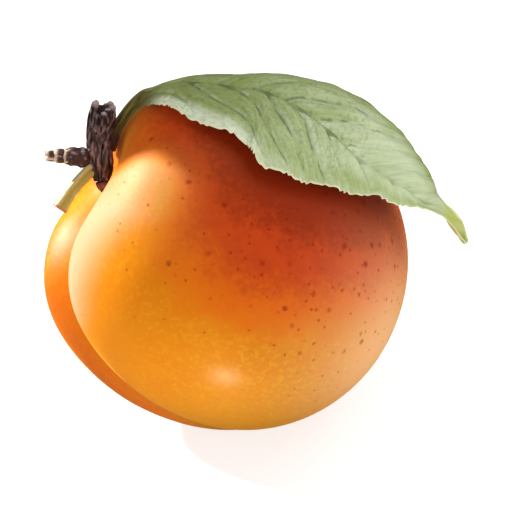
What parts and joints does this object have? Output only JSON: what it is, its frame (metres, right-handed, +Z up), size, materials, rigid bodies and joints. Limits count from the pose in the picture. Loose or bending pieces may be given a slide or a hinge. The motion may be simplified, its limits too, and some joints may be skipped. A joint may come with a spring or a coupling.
{
  "type": "apricot",
  "caption": "Ripe apricot with a deep suture and a blushed cheek, picked with a bit of woody spur, a bud and a leaf, resting on its side",
  "frame": {"origin": "middle of the flat spot the fruit rests on, on the surface below it", "axes": "+Z up; -X is the side the stem end leans to; -Y is the cheek seen from the front"},
  "size_m": [0.0575, 0.0461, 0.0499],
  "materials": {
    "apricot_skin": "satin",
    "stalk_bark": "matte",
    "spur_bark": "matte",
    "bud_scale": "matte",
    "cut_stalk": "satin",
    "leaf_green": "satin"
  },
  "bodies": {
    "root": {"apricot_fruit": "apricot_skin", "fruit_stalk": "stalk_bark", "spur_twig": "spur_bark", "side_bud": "bud_scale", "cut_leaf_stalk": "cut_stalk", "leaf": "leaf_green"}
  },
  "joints": []
}
